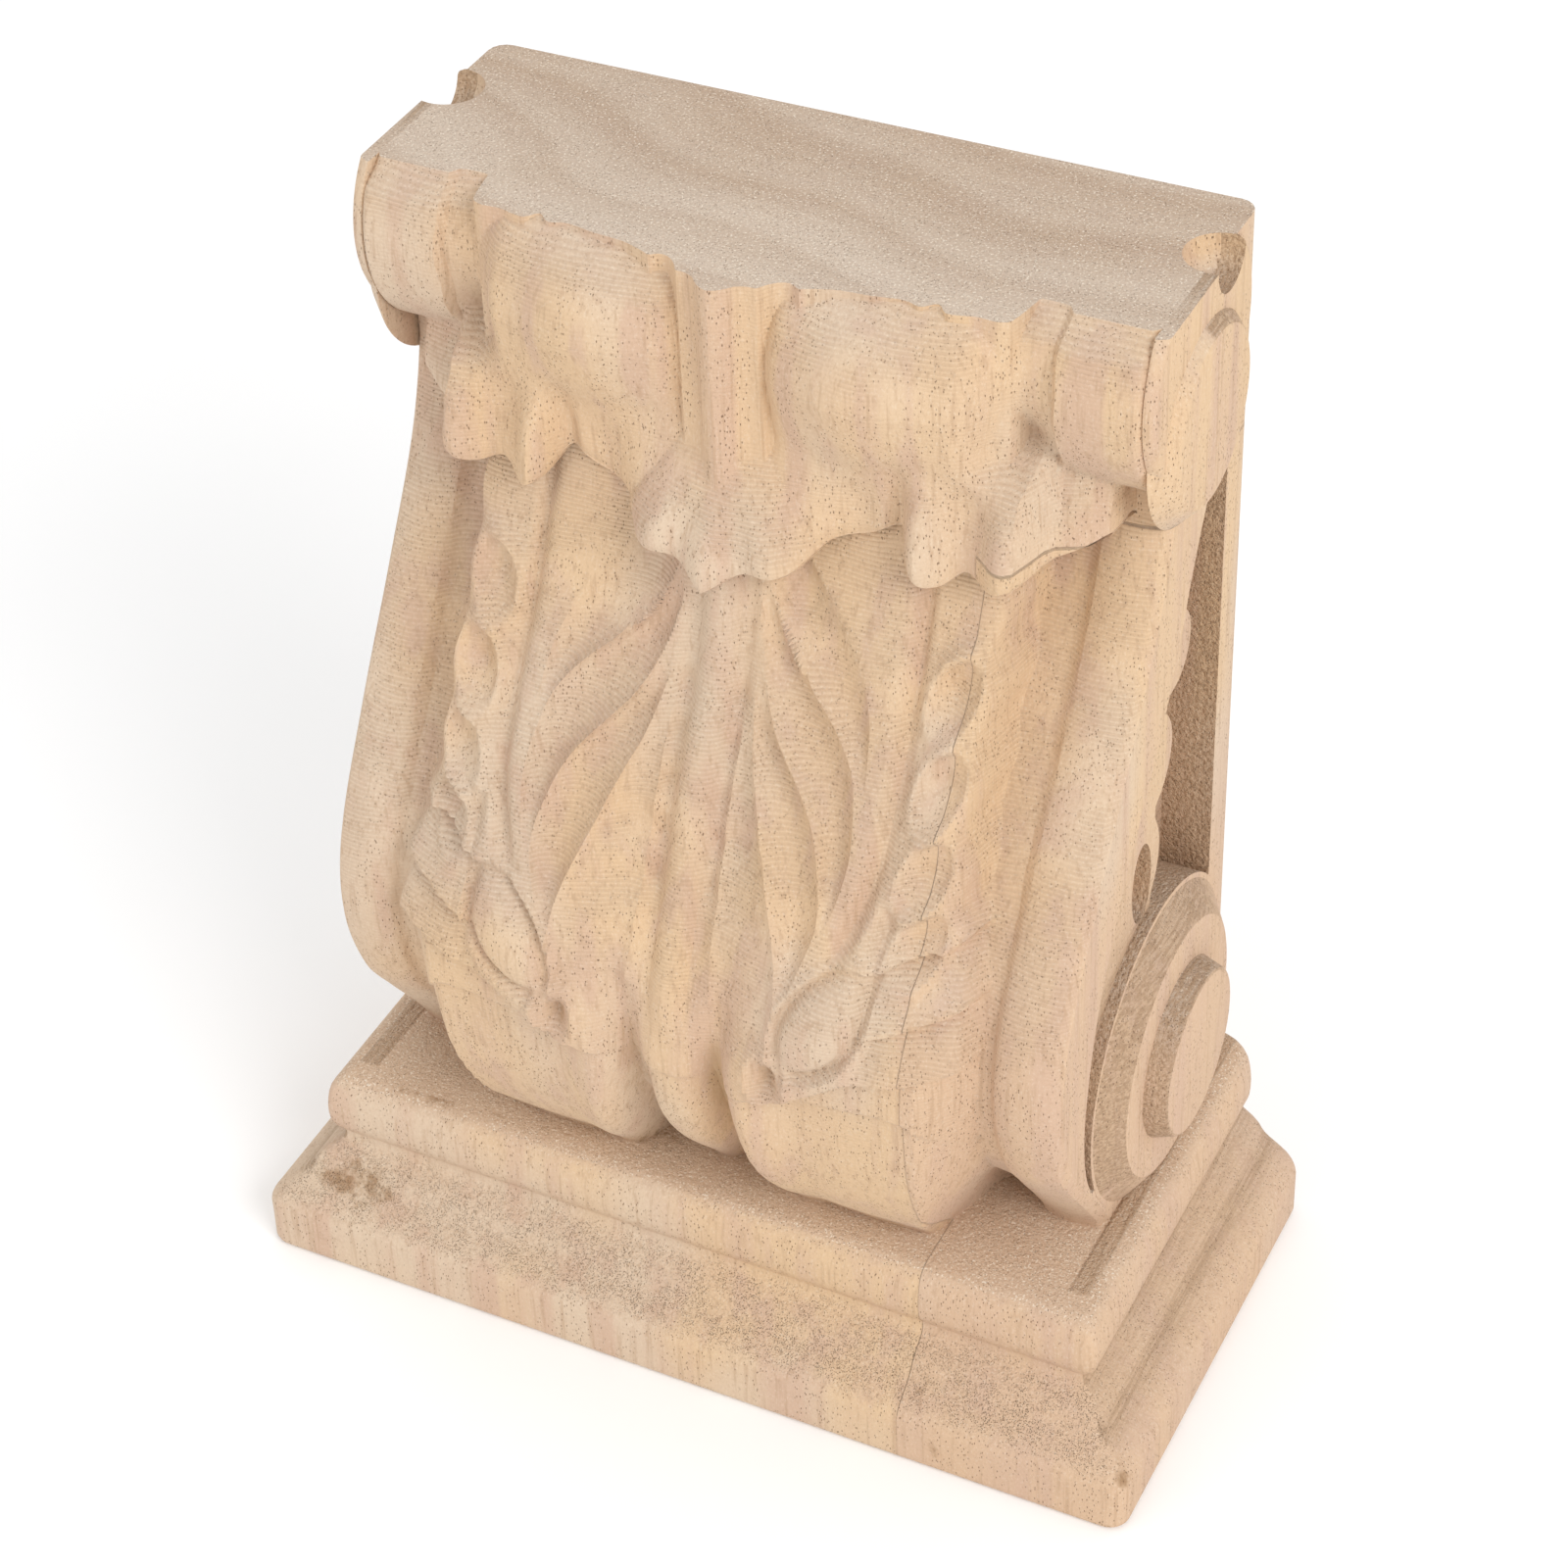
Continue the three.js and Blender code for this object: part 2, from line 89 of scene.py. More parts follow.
# leaf on the front: outlines of height against depth from the back, and what is cut into it
leaf = {
    'band': [(20, 38), (26, 39), (31, 42), (38, 47), (45, 51.6), (56, 54.8), (67, 53.4),
             (82, 45.4), (97, 36.2), (112, 27.8), (127, 23.6), (150, 22)],
    'crown': [(20, 51), (24, 51.6), (27, 53.2), (31, 56.6), (36, 59.4), (43, 61.6), (51, 62.4), (58, 62.4),
              (67, 61.2), (75, 58), (85, 52.8), (94, 47.4), (105, 41.4), (118, 36), (130, 32)],
    'stalk': [(20, 45.4), (24, 46.6), (28, 49.4), (36, 56), (43, 59.6), (51, 60.9), (58, 60.2),
              (65, 58.4), (72, 55.6), (79, 52.6), (86, 50), (92, 47), (98, 43.6), (106, 41),
              (118, 38.5), (130, 35)],
    'edge': [(26, 36.6), (60, 37.6), (70, 37.0), (80, 35.2), (90, 34.2), (104, 34), (125, 33.8)],
    'foot': [(6, 51.5), (13, 53), (19, 56), (25, 60), (31, 61), (39, 63.5)],
    'lobeTop': [(6, 50), (12, 53), (22, 54.2), (31, 54.5), (34, 51.5), (37, 46)],
    'lobeEdge': [(20, 32.8), (26, 33.4), (31, 34.6), (38, 36.2), (46, 37), (60, 38)],
    'valleyAt': [(20, 6.6), (26, 6.4), (34, 6.3), (42, 6.0), (50, 5.6), (58, 6.4), (66, 7.4)],
    'valleyCut': [(20, 8), (26, 9.4), (32, 9.0), (40, 6.6), (48, 4.6), (56, 2.8), (63, 1.0), (69, 0)],
    'valleyWide': [(20, 3.0), (30, 2.9), (40, 2.5), (56, 2.2), (69, 2.4)],
    'groove': [(66, 18.6), (73, 20.8), (77, 22.4), (82, 24), (87, 24.8), (95, 25.0), (105, 24.6),
               (125, 24.4)],
    'grooveDepth': 2.0,
    'grooveWidth': 1.2,
    'ribHeight': 1.3,
    'ribHalfWidth': 2.4,
    'edgeSoftness': 1.1,
    'edgeDrop': 3.2,
    'toothPitch': 7.4,
    'toothStart': 61.6,
    'toothSize': 1.1,
    'toothLean': 0.34,
    'ripplePitch': 9.4,
    'rippleSize': 0.35,
    'scaleStep': 2.5,
    'footStep': 1.2,
    'tierStep': 1.0,
    'ovals': [(29.6, 104.0), (30.0, 94.4), (30.1, 85.2), (30.6, 77.0)],
    'ovalSize': (2.5, 4.1),
    'ovalDepth': 1.3,
    'ovalLean': 0.34,
    'ovalRim': 0.7,
    'pod': (20.6, 66.4, 0.54),
    'podSize': (7.4, 3.9),
    'podHeight': 1.1,
    'podMoat': 0.9,
    'pit': (14.2, 57.2, 1.7, 2.3, 2.5),
    'beads': [98.0, 92.6, 87.2, 81.8, 76.6],
    'beadAt': 3.6,
    'beadDepth': 0.9,
    'beadSize': (1.0, 1.8),
    'scallops': [84.5, 77.5, 70.5, 64.0],
    'scallopAt': 8.0,
    'scallopSize': (4.0, 3.8),
    'scallopDepth': 0.8,
}

# sharp crests between the troughs of the leaf: distance from the middle at each height
crests = {
    'upper': [(88, 21.8), (95.5, 21), (100.5, 20), (105, 17.6), (110, 13.9), (116, 9)],
    'outer': [(73, 18), (78, 19.8), (82, 20.8), (86, 21.2), (90, 20.6), (93.8, 19.5), (96.6, 17.6),
              (99.3, 15.0), (101.2, 12.6), (103.4, 10.1), (106, 8.2), (109.5, 6.6), (114, 5)],
    'middle': [(66, 15.8), (72, 17.2), (77, 18.6), (80, 18.6), (83.5, 17.7), (86.5, 16.6), (89.2, 15.0),
               (91.6, 13), (93.8, 11), (96.2, 9), (99, 7.4), (102.5, 6.2), (107, 5)],
    'inner': [(62, 15.6), (71.5, 14.6), (75, 13.7), (78, 12.6), (81.8, 11.1), (85.5, 9.7), (89, 8.3),
              (91.5, 7.2), (95, 6.2), (99, 5.4)],
    'rib': [(56, 6.4), (66, 5.4), (80, 4.8), (110, 4.6)],
}
troughs = [
    {'from': 'outer', 'to': 'upper', 'low': 88, 'high': 124, 'deep': 1.7},
    {'from': 'middle', 'to': 'outer', 'low': 74, 'high': 116, 'deep': 2.2},
    {'from': 'inner', 'to': 'middle', 'low': 66, 'high': 102, 'deep': 2.2},
    {'from': 'rib', 'to': 'inner', 'low': 56, 'high': 99, 'deep': 1.5},
]


# plain bands along both sides, with the channel beside them
def bandDepth(u, z):
    middle = channelAt + block['bandWidth'] / 2
    crown = block['bandCrown'] * clamp01(1 - ((u - middle) / (block['bandWidth'] / 2)) ** 2)
    channel = block['channelDepth'] * (1 - blend(channelAt - 0.7, channelAt + 0.7, u))
    ease = block['edgeRound'] * blend(block['halfWidth'] - block['edgeRound'], block['halfWidth'], u) ** 2
    return follow(leaf['band'], z) + crown - channel - ease


# where a place lies between two teeth of the leaf's edge
def toothPhase(u, z):
    rise = leaf['toothLean'] * (u - 31)
    return (z - rise - leaf['toothStart']) / leaf['toothPitch']


def leafEdge(u, z):
    phase = toothPhase(u, z)
    fall = phase - np.floor(phase)
    tooth = leaf['toothSize'] * (0.5 - fall + blend(0.84, 1.0, fall)) * (1 - blend(78, 84, z))
    wave = np.cos((z - 104) / leaf['ripplePitch'] * 2 * math.pi)
    ripple = leaf['rippleSize'] * wave * blend(78, 84, z)
    return follow(leaf['edge'], z) + tooth + ripple


# concave troughs, each between two crests, running out at both ends
def troughCut(u, z):
    cut = np.zeros(u.shape)
    for trough in troughs:
        start = follow(crests[trough['from']], z)
        wide = np.maximum(follow(crests[trough['to']], z) - start, 0.1)
        t = clamp01((u - start) / wide)
        ends = blend(trough['low'], trough['low'] + 9, z) * (1 - blend(trough['high'] - 7, trough['high'], z))
        cut += trough['deep'] * ends * blend(0.3, 5.0, wide) * (4 * t * (1 - t)) ** 0.8
    return cut


# what is cut into the leaf and what stands on it
def leafCarving(u, z):
    out = -troughCut(u, z)
    wide, tall = leaf['ovalSize']
    lean = leaf['ovalLean']
    for centreU, centreZ in leaf['ovals']:
        du = u - centreU
        dz = z - centreZ
        ring = np.hypot((du * math.cos(lean) - dz * math.sin(lean)) / wide,
                        (dz * math.cos(lean) + du * math.sin(lean)) / tall)
        out -= leaf['ovalDepth'] * clamp01(1 - ring) ** 0.8 - leaf['ovalRim'] * hump(ring, 1.2, 0.24)
        out -= 0.5 * hump(np.hypot(du + 0.5, (dz - 0.8) * 0.6), 0, 0.9)
        out += 0.7 * hump(dz - 0.5 * du, 4.7, 0.9) * hump(du, 0, 2.6)
    centreU, centreZ, lean = leaf['pod']
    du = u - centreU
    dz = z - centreZ
    along = (dz * math.cos(lean) + du * math.sin(lean)) / leaf['podSize'][0]
    wide = (du * math.cos(lean) - dz * math.sin(lean)) / leaf['podSize'][1]
    ring = np.sqrt(along ** 2 + wide ** 2 + 0.35 * along ** 2 * wide ** 2)
    out = np.where(ring < 1.42, out * blend(1.15, 1.42, ring), out)
    out += (leaf['podHeight'] * clamp01(1 - ring ** 2) - leaf['podMoat'] * hump(ring, 1.1, 0.16)
            + 0.5 * hump(ring, 1.36, 0.14))
    pitU, pitZ, wide, tall, deep = leaf['pit']
    ring = np.hypot((u - pitU) / wide, (z - pitZ) / tall)
    out -= deep * hump(ring, 0, 0.8) - 0.6 * hump(ring, 1.7, 0.35)
    wide, tall = leaf['beadSize']
    for beadZ in leaf['beads']:
        out -= leaf['beadDepth'] * np.exp(-((u - leaf['beadAt']) / wide) ** 2 - ((z - beadZ) / tall) ** 2)
    wide, tall = leaf['scallopSize']
    for arcZ in leaf['scallops']:
        ring = np.hypot((u - leaf['scallopAt']) / wide, (z - arcZ + 3.4) / tall)
        out -= leaf['scallopDepth'] * clamp01(1 - ring ** 2) ** 0.7 * blend(-3.6, 2.8, z - arcZ + 3.4)
    return out


# face of the front below the roll: the leaf over the plain bands
def leafDepth(u, z):
    ground = bandDepth(u, z) - 3.2 * hump(u, 35.6, 2.2) * (1 - blend(29, 38, z))
    crown = follow(leaf['crown'], z) - 1.6 * (1 - blend(27, 40, z)) * hump(u, 8, 6)
    stalk = follow(leaf['stalk'], z)
    rib = (leaf['ribHeight'] * clamp01(1 - (u / leaf['ribHalfWidth']) ** 2) * blend(54, 64, z)
           - 0.5 * hump(u, 3.6, 1.2) * blend(62, 72, z))
    phase = toothPhase(u, z)
    fall = phase - np.floor(phase)
    scale = (leaf['scaleStep'] * (fall - blend(0.84, 1.0, fall)) * blend(24, 27, u)
             * (1 - blend(78, 83, z)))
    groove = (leaf['grooveDepth'] * hump(u, follow(leaf['groove'], z), leaf['grooveWidth'])
              * blend(70, 80, z))
    above = blend(-0.5, 0.5, z - follow(leaf['foot'], u))
    tier = (leaf['footStep'] * (1 - above)
            + leaf['tierStep'] * (1 - blend(-0.5, 0.5, z - follow(leaf['lobeTop'], u)))) * blend(9, 17, u)
    valley = (follow(leaf['valleyCut'], z)
              * hump(u, follow(leaf['valleyAt'], z), follow(leaf['valleyWide'], z)))
    body = stalk + (crown - stalk) * blend(2.6, 11, u) + rib - valley - tier
    body += leafCarving(u, z) - (scale * above) - groove - 1.0 * blend(25, 27, u) * blend(66, 76, z)
    edge = leafEdge(u, z)
    soft = leaf['edgeSoftness']
    inside = 1 - blend(edge - soft, edge + soft, u)
    drop = 1.2 * clamp01((u - edge + 3) / 3) ** 2
    drop += leaf['edgeDrop'] * blend(27.5, edge, u) * blend(52, 60, z) * (1 - blend(80, 94, z))
    high = ground + (body - drop - ground) * inside
    side = clamp01((u - 22) / (follow(leaf['lobeEdge'], z) - 22))
    dome = np.minimum(1 - 0.08 * side, (1 - side) / 0.36)
    dome = np.where(dome > 0.72, dome - 0.9 * (dome - 0.72) ** 2, dome)
    low = ground + (body - ground) * dome
    return np.maximum(ground, low + (high - low) * above)


# the roll across the narrow end and the leaf tips that hang from it
roll = {
    'endDepth': 19.0,
    'endHeight': 141.0,
    'endRadius': 15.4,
    'bulgeHeight': 139.0,
    'bulgeDepth': 40.2,
    'topDepth': 29.5,
    'endStep': 1.4,
    'facetDepth': 30.4,
    'facetSlope': 0.42,
    'ribGrooveAt': 4.6,
    'ribGrooveDepth': 1.8,
    'undercut': 2.6,
    'curl': 1.5,
    'hollowDepth': 2.4,
    'ridgeHeight': 1.9,
    'dishDepth': 1.6,
    'pitDepth': 2.0,
    'fluteDepth': 0.7,
    'lobe': [(108, 41.8), (116, 40.6), (122, 39.2), (126, 38.2), (129.5, 37.8), (133, 38.9), (139, 40.4)],
    'fan': [(108, 15.5), (115, 14), (120, 11), (125, 7.5), (130, 4.5), (134, 4)],
    'tip': [(0, 112), (4, 114.4), (9.5, 115.4), (13, 118.4), (17, 119.6), (20.8, 121.3), (23.2, 118.4),
            (26.6, 116.6), (29.2, 118.2), (32, 117.8), (36, 119.2), (40.5, 121), (44.5, 123.4),
            (48.5, 123.6)],
}


# face of the roll with its end drums, and of the tips below it
def rollDepth(u, z):
    drumRise = roll['endRadius'] ** 2 - (z - roll['endHeight']) ** 2
    drum = (roll['endDepth'] + np.sqrt(np.maximum(0, drumRise))
            - 2.2 * blend(block['height'] - 3, block['height'], z)
            - block['edgeRound'] * blend(block['halfWidth'] - 1.6, block['halfWidth'], u) ** 2)
    facet = roll['facetDepth'] + roll['facetSlope'] * np.maximum(0, 131 - z) - 0.3 * np.maximum(0, u - 36)
    facet = np.where(z < 131.2, facet * blend(45.4, 43.6, u), 0)
    drum = np.maximum(np.maximum(drum, facet), bandDepth(u, z))
    ends = drum - roll['endStep'] * (1 - blend(37.3, 38.3, u)) * blend(130, 133, z)

    reach = block['height'] - roll['bulgeHeight'] + 0.4
    arc = np.sqrt(clamp01(1 - ((z - roll['bulgeHeight']) / reach) ** 2))
    top = roll['topDepth'] + 2 * hump(u, 0, 5) + 0.9 * hump(u, 25, 5.5) - 1.0 * hump(u, 13, 5)
    swell = 3.2 * hump(u, 16.5, 8.5) - 1.6
    bulge = top + (roll['bulgeDepth'] + swell - top) * arc

    fan = follow(roll['fan'], z)
    inFan = clamp01(1 - (u / fan) ** 2) ** 0.6
    centreTip = inFan * (0.8 + 3.6 * blend(130, 113, z)) * blend(131.5, 127, z)
    flutes = roll['fluteDepth'] * np.cos(u / fan * 3.4 * math.pi) * inFan * blend(124, 117, z)
    hollow = (roll['hollowDepth'] * hump(u, 16.5, 4.2) * blend(131, 122, z)
              + 1.8 * hump(u, 21.0, 1.4) * blend(135, 123, z))
    ridge = (roll['ridgeHeight'] * hump(u, 24.4, 2.0) * blend(132, 124, z)
             + 1.7 * hump(u, 34.4, 2.6) * blend(132, 125, z))
    dish = roll['dishDepth'] * hump(u, 29.4, 3.2) * blend(131, 126, z)
    lobes = follow(roll['lobe'], z) + centreTip + flutes - hollow + ridge - dish
    middle = np.where(z > roll['bulgeHeight'], bulge, lobes + swell * blend(124, roll['bulgeHeight'], z))
    middle -= roll['ribGrooveDepth'] * hump(u, roll['ribGrooveAt'], 1.7) * blend(125, 134, z)
    over = blend(27.5, 34.5, u) * blend(129.5, 134.5, z) + blend(35.5, 38, u) * (1 - blend(129.5, 134.5, z))
    pit = roll['pitDepth'] * hump(u, 33.8, 2.4) * hump(z, 134, 4.5)
    return middle + (ends - middle) * over - pit


# how finely the body is cut: rows from the foot up and columns of the half front
fineness = {
    'leafRows': 180,
    'tipRows': 7,
    'rollRows': 90,
    'columns': [5, 6, 16, 11, 11, 11, 8, 6, 20, 9, 7, 12, 4],
    'evenPlaces': (4.6, 8.5, 12.4, 16.3, 20.2),
    'side': 6,
}


# height of each row at a distance from the middle, from the root in the foot up to the top face
def rowHeights(u, row):
    tip = follow(roll['tip'], u)
    under = tip + roll['undercut'] * (1 - blend(36, 45, u)) - 0.2
    leafRows, tipRows, rollRows = fineness['leafRows'], fineness['tipRows'], fineness['rollRows']
    onLeaf = block['root'] + (under - block['root']) * np.minimum(row, leafRows) / leafRows
    onTip = under + (tip - 0.05 - under) * clamp01((row - leafRows) / tipRows) ** 1.5
    t = clamp01((row - leafRows - tipRows) / rollRows)
    onRoll = tip + 0.1 + (block['height'] - tip - 0.1) * (0.5 * t + 0.5 * np.sin(t * math.pi / 2))
    return np.where(row <= leafRows, onLeaf, np.where(row < leafRows + tipRows, onTip, onRoll))


# columns of the half front, following the crests, the outer row, the leaf's edge and the band
def frontColumns(rows):
    row = np.arange(rows)
    crestLines = []
    for name, even in zip(('rib', 'inner', 'middle', 'outer', 'upper'), fineness['evenPlaces']):
        place = np.full(rows, float(even))
        for _ in range(12):
            height = rowHeights(place, row)
            level = blend(100, 113, height)
            place = (place + follow(crests[name], height) * (1 - level) + even * level) / 2
        crestLines.append(place)
    edge = leafEdge(np.full(rows, 36.0), rowHeights(np.full(rows, 24.0), row))
    soft = leaf['edgeSoftness']
    lines = [np.zeros(rows), np.full(rows, 2.5)] + crestLines
    lines += [np.full(rows, 24.0), np.full(rows, 26.5), edge - soft, edge + soft]
    lines += [np.full(rows, value) for value in (channelAt + 0.7, block['halfWidth'] - block['edgeRound'],
                                                 block['halfWidth'])]
    places = [lines[0][:, None]]
    for k, count in enumerate(fineness['columns']):
        steps = np.arange(1, count + 1) / count
        places.append(lines[k][:, None] + (lines[k + 1] - lines[k])[:, None] * steps)
    return np.concatenate(places, axis=1)


# all points of the body, row by row, once around
def bodyPoints():
    rows = fineness['leafRows'] + fineness['tipRows'] + fineness['rollRows'] + 1
    columns = frontColumns(rows)
    heights = rowHeights(columns, np.arange(rows)[:, None])
    tip = follow(roll['tip'], columns)
    under = tip + roll['undercut'] * (1 - blend(36, 45, columns)) - 0.2
    depths = leafDepth(columns, heights)
    inner = leafDepth(columns, under)
    outer = np.maximum(inner, rollDepth(columns, tip + 0.2) - 0.6)
    first = fineness['leafRows']
    last = first + fineness['tipRows']
    for row in range(first + 1, last):
        t = (row - first) / fineness['tipRows']
        depths[row] = inner[row] + (outer[row] - inner[row]) * t
    depths[last] = outer[last]
    curl = roll['curl'] * np.exp(-clamp01((heights[last:] - tip[last:]) / 20) * 20 / 1.3)
    depths[last + 1:] = rollDepth(columns[last + 1:], heights[last + 1:])
    depths[last:] = np.maximum(depths[last:] - curl, inner[last:])
    half = np.stack([columns, block['backFace'] - depths, heights], axis=2)
    left = half[:, ::-1].copy()
    left[:, :, 0] *= -1
    edge = half[:, -1]
    radius = block['backCorner']
    back = np.stack([edge[:, 0], np.full(rows, block['backFace'] - radius), edge[:, 2]], axis=1)
    steps = np.linspace(0, 1, fineness['side'] + 1)[1:, None, None]
    turn = np.linspace(0, math.pi / 2, 5)[1:, None, None]
    corner = back + radius * (np.cos(turn) - 1) * (1, 0, 0) + radius * np.sin(turn) * (0, 1, 0)
    right = np.moveaxis(np.concatenate([edge + (back - edge) * steps, corner]), 0, 1)
    far = right[:, ::-1].copy()
    far[:, :, 0] *= -1
    return np.concatenate([left[:, :-1], half, right, far], axis=1)


def selectOnly(piece):
    bpy.ops.object.select_all(action='DESELECT')
    piece.select_set(True)
    bpy.context.view_layer.objects.active = piece


# a closed skin over rows of points: joined round, capped below and above
def skin(name, points):
    rows, columns = points.shape[:2]
    bpy.ops.mesh.primitive_grid_add(x_subdivisions=columns, y_subdivisions=rows - 1, size=1)
    piece = bpy.context.object
    piece.name = name
    piece.data.name = name
    closed = np.concatenate([points, points[:, :1]], axis=1) * mm
    piece.data.vertices.foreach_set('co', closed.astype(np.float32).ravel())
    bpy.ops.object.mode_set(mode='EDIT')
    bpy.ops.mesh.select_all(action='SELECT')
    bpy.ops.mesh.remove_doubles(threshold=1e-6)
    bpy.ops.mesh.fill_holes(sides=0)
    bpy.ops.mesh.select_all(action='SELECT')
    bpy.ops.mesh.normals_make_consistent(inside=False)
    bpy.ops.object.mode_set(mode='OBJECT')
    return piece


# the moulded foot: inset of its face at each height, and its plan
foot = {
    'halfWidth': 61.0,
    'halfDepth': 31.5,
    'height': 26.0,
    'fascia': 8.0,
    'moulding': [(0.1, 7.5), (0.35, 8.1), (0.8, 8.7), (1.5, 9.25), (2.4, 9.9), (3.3, 10.5), (4.1, 11.2),
                 (4.7, 12.0), (5.1, 12.7), (5.7, 13.3), (6.5, 13.9), (7.3, 14.5), (7.9, 15.1), (8.2, 15.8),
                 (8.2, 16.6), (7.8, 17.3), (7.3, 18.0), (7.0, 18.9), (6.9, 20.0), (6.9, 21.2), (7.0, 22.4),
                 (7.15, 23.4), (7.4, 24.3), (7.8, 25.05), (8.4, 25.6), (9.1, 25.9), (9.9, 26.0)],
    'corner': [(0, 2.6), (8, 2.6), (14, 1.2), (26, 1.2)],
    'backCorner': 3.2,
    'cornerSteps': 8,
    'sideSteps': 24,
}


def footProfile():
    profile = [(1.0, 0.0), (0.5, 0.15), (0.15, 0.5), (0.0, 1.0)]
    profile += [(0.0, z) for z in np.linspace(1.5, foot['fascia'] - 1, 6)]
    return profile + foot['moulding']


# a quarter turn from one way to the next, about a corner
def arc(centre, radius, start):
    turns = (start + k / foot['cornerSteps'] * math.pi / 2 for k in range(foot['cornerSteps'] + 1))
    return [(centre[0] - radius * math.cos(turn), centre[1] - radius * math.sin(turn)) for turn in turns]


def footPoints():
    rows = []
    steps = foot['sideSteps']
    for inset, z in footProfile():
        half = foot['halfWidth'] - inset
        front = -foot['halfDepth'] + inset
        back = foot['halfDepth']
        rounding = float(follow(foot['corner'], z))
        behind = foot['backCorner']
        ring = arc((-half + behind, back - behind), behind, -math.pi / 2)
        ring += [(-half, y) for y in np.linspace(back - behind, front + rounding, steps)[1:-1]]
        ring += arc((-half + rounding, front + rounding), rounding, 0)
        ring += [(x, front) for x in np.linspace(-half + rounding, half - rounding, 2 * steps)[1:-1]]
        ring += arc((half - rounding, front + rounding), rounding, math.pi / 2)
        ring += [(half, y) for y in np.linspace(front + rounding, back - behind, steps)[1:-1]]
        ring += arc((half - behind, back - behind), behind, math.pi)
        rows.append([(x, y, z) for x, y in ring])
    return np.array(rows)


# scrolls on the side faces: place, radius at the face and at the top, how far out and in each reaches
scrolls = [
    {'depth': 19.0, 'height': 141.0, 'foot': 14.8, 'top': 14.3, 'rise': 1.2, 'root': 0.4},
    {'depth': 18.5, 'height': 133.5, 'foot': 13.2, 'top': 10.6, 'rise': 2.5, 'root': 0.4},
    {'depth': 23.3, 'height': 44.0, 'foot': 21.4, 'top': 21.4, 'rise': 0.05, 'root': 7.0},
    {'depth': 23.3, 'height': 44.0, 'foot': 20.8, 'top': 16.8, 'rise': 2.8, 'root': 0.4},
    {'depth': 23.3, 'height': 44.0, 'foot': 12.6, 'top': 10.8, 'rise': 5.6, 'root': 0.4},
]

scrollSoftness = 0.35

# recesses cut into the side faces
pocket = {
    'deep': 6.5,
    'top': 122.0,
    'bottom': 52.0,
    'edge': [(52, 12), (56, 18), (60, 22), (66, 23.4), (80, 22.5), (92, 21.5), (106, 19), (114, 15.5),
             (122, 11)],
    'lobes': [(18.5, 99.5, 5.6), (25, 86.8, 7.2), (29.5, 73, 8.6)],
    'rim': [(34, 42.8), (39, 45.3), (44, 46.5), (50, 46.6), (56, 45.6), (61, 44.4), (66, 42.6), (73, 39),
            (80, 35), (87, 30), (94, 25), (106, 19), (122, 11)],
    'shelf': 1.5,
    'hole': (26.4, 71.0, 3.0, 5.8),
    'holeDeep': 4.5,
    'scoop': (11.8, 150.0, 4.4),
}


def applyAll(piece):
    selectOnly(piece)
    for modifier in list(piece.modifiers):
        bpy.ops.object.modifier_apply(modifier=modifier.name)


def join(piece, other, operation):
    cut = piece.modifiers.new('cut', 'BOOLEAN')
    cut.operation = operation
    cut.solver = 'MANIFOLD'
    cut.object = other
    applyAll(piece)
    bpy.data.objects.remove(other, do_unlink=True)


# a cone frustum that stands on a side face
def scrollDisc(at, side):
    root = at['root']
    base = block['halfWidth'] - root
    length = at['rise'] + root
    slope = (at['foot'] - at['top']) / max(at['rise'], 1.0)
    bpy.ops.mesh.primitive_cone_add(vertices=96, radius1=(at['foot'] + root * slope) * mm,
                                    radius2=at['top'] * mm, depth=length * mm,
                                    location=(side * (base + length / 2) * mm,
                                              (block['backFace'] - at['depth']) * mm, at['height'] * mm),
                                    rotation=(0, side * math.pi / 2, 0))
    disc = bpy.context.object
    bpy.ops.object.transform_apply(location=True, rotation=True, scale=True)
    if at['rise'] > 1:
        soften = disc.modifiers.new('soften', 'BEVEL')
        soften.width = scrollSoftness * mm
        soften.segments = 2
        soften.angle_limit = math.radians(20)
        soften.limit_method = 'ANGLE'
        applyAll(disc)
    return disc


# a block of a given outline in depth and height, reaching from a side face inwards
def sideBlock(outline, deep, side):
    bpy.ops.mesh.primitive_circle_add(vertices=len(outline), radius=1, fill_type='NGON')
    piece = bpy.context.object
    inner = side * (block['halfWidth'] - deep)
    for vertex, (depth, height) in zip(piece.data.vertices, outline):
        vertex.co = Vector((inner, block['backFace'] - depth, height)) * mm
    bpy.ops.object.mode_set(mode='EDIT')
    bpy.ops.mesh.select_all(action='SELECT')
    reach = side * (deep + 8) * mm
    bpy.ops.mesh.extrude_region_move(TRANSFORM_OT_translate={'value': (reach, 0, 0)})
    bpy.ops.mesh.select_all(action='SELECT')
    bpy.ops.mesh.normals_make_consistent(inside=False)
    bpy.ops.object.mode_set(mode='OBJECT')
    return piece


# the deep recess, with three lobes standing in it
def pocketOutline():
    outline = [(block['backStrip'], pocket['top']), (block['backStrip'], pocket['bottom'])]
    for z in np.arange(pocket['bottom'] + 0.8, pocket['top'], 0.8):
        edge = float(follow(pocket['edge'], z))
        for depth, height, radius in pocket['lobes']:
            reach = radius ** 2 - (z - height) ** 2
            if reach > 0:
                edge = min(edge, depth - math.sqrt(reach))
        outline.append((edge, z))
    outline.append((float(follow(pocket['edge'], pocket['top'])), pocket['top']))
    return outline


# the shallow recess between the front strip and the lower scroll
def shelfOutline():
    outline = [(block['backStrip'] + 3, 66), (24, 64), (28, 36)]
    for z in np.arange(36, 121, 1.5):
        outline.append((float(follow(pocket['rim'], z)), z))
    outline += [(11.2, 121), (block['backStrip'] + 3, 110)]
    return outline


def holeOutline():
    depth, height, wide, tall = pocket['hole']
    return [(depth + wide * math.cos(a), height + tall * math.sin(a))
            for a in np.linspace(0, 2 * math.pi, 36, endpoint=False)]


